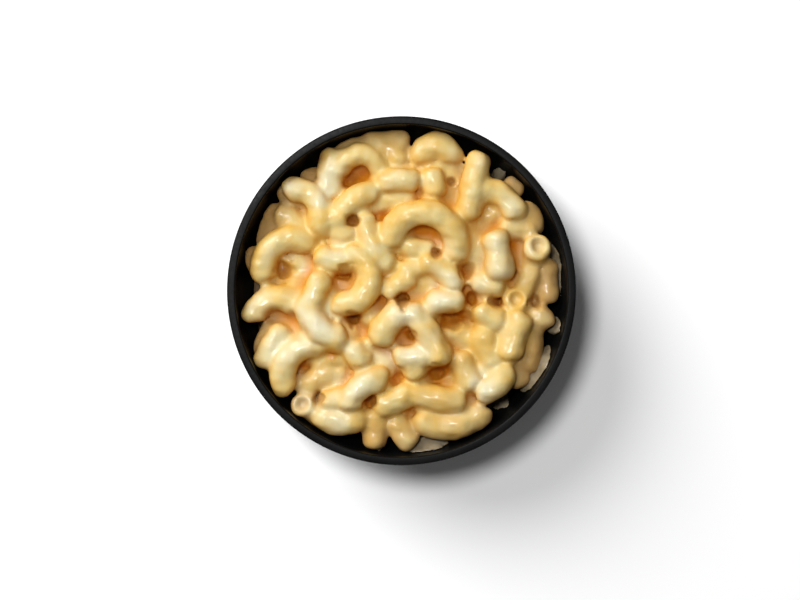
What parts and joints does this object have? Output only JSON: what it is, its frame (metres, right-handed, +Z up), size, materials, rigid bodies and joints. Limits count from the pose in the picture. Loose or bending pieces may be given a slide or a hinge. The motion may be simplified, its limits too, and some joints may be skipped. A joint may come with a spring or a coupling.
{
  "type": "bowl of macaroni and cheese",
  "caption": "Round black bowl holding a heap of short curved macaroni tubes in glossy cheese sauce.",
  "frame": {"origin": "on the ground plane under the middle of the bowl", "axes": "+Z up through the middle of the bowl; +X and +Y lie on the ground plane, and the bowl is round, so only the heap sets them"},
  "size_m": [0.12, 0.12, 0.0467],
  "materials": {
    "black_glaze": "satin black glaze",
    "cheese_sauce": "wet, glossy orange cheese sauce",
    "sauced_pasta": "cream coloured pasta coated in glossy cheese sauce"
  },
  "bodies": {
    "root": {"bowl": "black_glaze", "cheese_sauce": "cheese_sauce", "macaroni": "sauced_pasta"}
  },
  "joints": []
}
